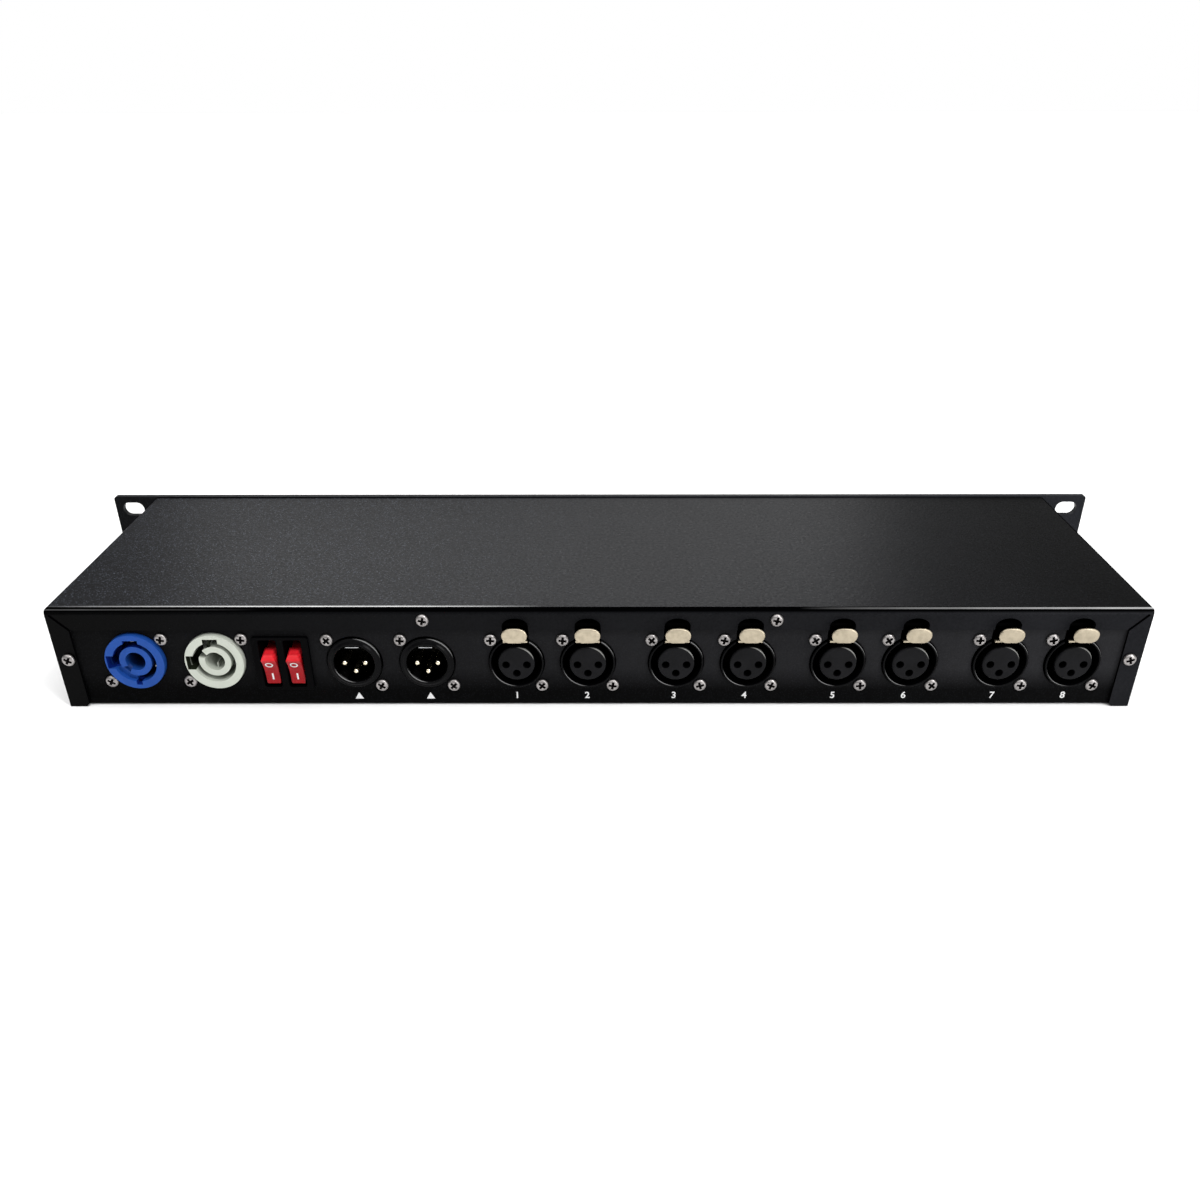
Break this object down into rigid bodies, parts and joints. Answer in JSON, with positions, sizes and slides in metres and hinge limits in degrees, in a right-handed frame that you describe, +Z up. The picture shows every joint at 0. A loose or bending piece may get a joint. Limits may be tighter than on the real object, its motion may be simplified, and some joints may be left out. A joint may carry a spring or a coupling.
{
  "type": "dmx splitter",
  "caption": "One-unit rack box that repeats a lighting control signal from its inputs to isolated latching outputs, with locking mains sockets and a double rocker switch.",
  "frame": {"origin": "middle of the bounding box's base: under the middle of the rack box, on the surface that its floor stands on", "axes": "+X along the rack width, to the right when the connector side is looked at; -Y out of the connector side; +Y out of the rack panel; +Z up"},
  "size_m": [0.4826, 0.1414, 0.0444],
  "materials": {
    "cover_paint": "fine speckled powder coat, dark grey",
    "chassis_paint": "satin black powder coat",
    "panel_paint": "satin black powder coat",
    "blue_plastic": "satin moulded",
    "grey_plastic": "satin moulded",
    "black_plastic": "satin moulded",
    "black_shell": "satin black coated die casting",
    "insert_plastic": "matt moulded",
    "red_plastic": "glossy translucent red",
    "latch_nickel": "nickel plated, satin",
    "contact_brass": "plated, smooth",
    "screw_steel": "zinc plated",
    "zinc_steel": "zinc plated",
    "board_green": "solder mask",
    "supply_grey": "dull",
    "light_pipe": "clear moulded"
  },
  "bodies": {
    "chassis": {"chassis_base": "chassis_paint", "top_cover": "cover_paint", "front_panel": "panel_paint", "front_panel_fixing": "zinc_steel", "power_inlet": "blue_plastic", "power_inlet_fixing": "screw_steel", "power_outlet": "grey_plastic", "power_outlet_fixing": "screw_steel", "switch_housing": "black_plastic", "input_a_shell": "black_shell", "input_a_pin_1": "contact_brass", "input_a_pin_2": "contact_brass", "input_a_pin_3": "contact_brass", "input_a_fixing": "screw_steel", "input_b_shell": "black_shell", "input_b_pin_1": "contact_brass", "input_b_pin_2": "contact_brass", "input_b_pin_3": "contact_brass", "input_b_fixing": "screw_steel", "output_1_shell": "black_shell", "output_1_insert": "insert_plastic", "output_1_fixing": "screw_steel", "output_2_shell": "black_shell", "output_2_insert": "insert_plastic", "output_2_fixing": "screw_steel", "output_3_shell": "black_shell", "output_3_insert": "insert_plastic", "output_3_fixing": "screw_steel", "output_4_shell": "black_shell", "output_4_insert": "insert_plastic", "output_4_fixing": "screw_steel", "output_5_shell": "black_shell", "output_5_insert": "insert_plastic", "output_5_fixing": "screw_steel", "output_6_shell": "black_shell", "output_6_insert": "insert_plastic", "output_6_fixing": "screw_steel", "output_7_shell": "black_shell", "output_7_insert": "insert_plastic", "output_7_fixing": "screw_steel", "output_8_shell": "black_shell", "output_8_insert": "insert_plastic", "output_8_fixing": "screw_steel", "cover_screw_left": "screw_steel", "cover_screw_right": "screw_steel", "side_screw_left": "screw_steel", "side_screw_right": "screw_steel", "main_board": "board_green", "power_supply": "supply_grey", "indicator_light_pipe": "light_pipe"},
    "rocker_left": {"rocker_left": "red_plastic"},
    "rocker_right": {"rocker_right": "red_plastic"},
    "latch_1": {"output_1_latch": "latch_nickel"},
    "latch_2": {"output_2_latch": "latch_nickel"},
    "latch_3": {"output_3_latch": "latch_nickel"},
    "latch_4": {"output_4_latch": "latch_nickel"},
    "latch_5": {"output_5_latch": "latch_nickel"},
    "latch_6": {"output_6_latch": "latch_nickel"},
    "latch_7": {"output_7_latch": "latch_nickel"},
    "latch_8": {"output_8_latch": "latch_nickel"}
  },
  "joints": [
    {"name": "rocker_left_tip", "type": "hinge", "parent": "chassis", "child": "rocker_left", "pos_m": [-0.1334, -0.0541, 0.02], "axis": [-1, 0, 0], "range_deg": [0, 32]},
    {"name": "rocker_right_tip", "type": "hinge", "parent": "chassis", "child": "rocker_right", "pos_m": [-0.1233, -0.0541, 0.02], "axis": [-1, 0, 0], "range_deg": [0, 32]},
    {"name": "latch_1_lift", "type": "hinge", "parent": "chassis", "child": "latch_1", "pos_m": [-0.03325, -0.0522, 0.0314], "axis": [-1, 0, 0], "range_deg": [0, 7], "stiffness_Nm_per_rad": 0.15, "springref_deg": -8.59},
    {"name": "latch_2_lift", "type": "hinge", "parent": "chassis", "child": "latch_2", "pos_m": [-0.0042, -0.0522, 0.0314], "axis": [-1, 0, 0], "range_deg": [0, 7], "stiffness_Nm_per_rad": 0.15, "springref_deg": -8.59},
    {"name": "latch_3_lift", "type": "hinge", "parent": "chassis", "child": "latch_3", "pos_m": [0.0317, -0.0522, 0.0314], "axis": [-1, 0, 0], "range_deg": [0, 7], "stiffness_Nm_per_rad": 0.15, "springref_deg": -8.59},
    {"name": "latch_4_lift", "type": "hinge", "parent": "chassis", "child": "latch_4", "pos_m": [0.06093, -0.0522, 0.0314], "axis": [-1, 0, 0], "range_deg": [0, 7], "stiffness_Nm_per_rad": 0.15, "springref_deg": -8.59},
    {"name": "latch_5_lift", "type": "hinge", "parent": "chassis", "child": "latch_5", "pos_m": [0.09755, -0.0522, 0.0314], "axis": [-1, 0, 0], "range_deg": [0, 7], "stiffness_Nm_per_rad": 0.15, "springref_deg": -8.59},
    {"name": "latch_6_lift", "type": "hinge", "parent": "chassis", "child": "latch_6", "pos_m": [0.12693, -0.0522, 0.0314], "axis": [-1, 0, 0], "range_deg": [0, 7], "stiffness_Nm_per_rad": 0.15, "springref_deg": -8.59},
    {"name": "latch_7_lift", "type": "hinge", "parent": "chassis", "child": "latch_7", "pos_m": [0.16355, -0.0522, 0.0314], "axis": [-1, 0, 0], "range_deg": [0, 7], "stiffness_Nm_per_rad": 0.15, "springref_deg": -8.59},
    {"name": "latch_8_lift", "type": "hinge", "parent": "chassis", "child": "latch_8", "pos_m": [0.1929, -0.0522, 0.0314], "axis": [-1, 0, 0], "range_deg": [0, 7], "stiffness_Nm_per_rad": 0.15, "springref_deg": -8.59}
  ]
}
